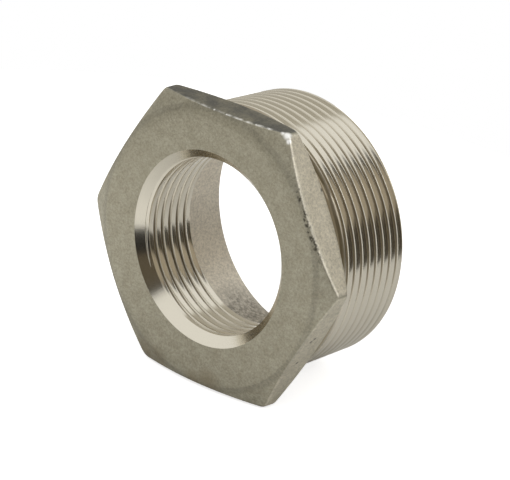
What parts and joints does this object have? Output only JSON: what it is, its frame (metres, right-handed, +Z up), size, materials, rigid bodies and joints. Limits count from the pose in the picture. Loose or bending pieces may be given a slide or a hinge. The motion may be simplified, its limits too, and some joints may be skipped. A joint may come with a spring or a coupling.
{
  "type": "hex bushing",
  "caption": "Hexagon head with a parallel female pipe thread, on a short hollow shank with a larger taper male pipe thread, which joins a small pipe to a bigger port.",
  "frame": {"origin": "on the floor under the middle of the part, which lies at rest on one flat of the hexagon and on the shank's end", "axes": "+Z up; +X across two corners of the hexagon; the bushing's axis runs from the hexagon's face towards +Y, and dips by 4.71 degrees to the shank's end"},
  "size_m": [0.0714, 0.0358, 0.0628],
  "materials": {
    "cast_stainless": "blasted cast skin on the hexagon and in the recess, turned and bright on both threads"
  },
  "bodies": {
    "root": {"hex_bushing": "cast_stainless"}
  },
  "joints": []
}
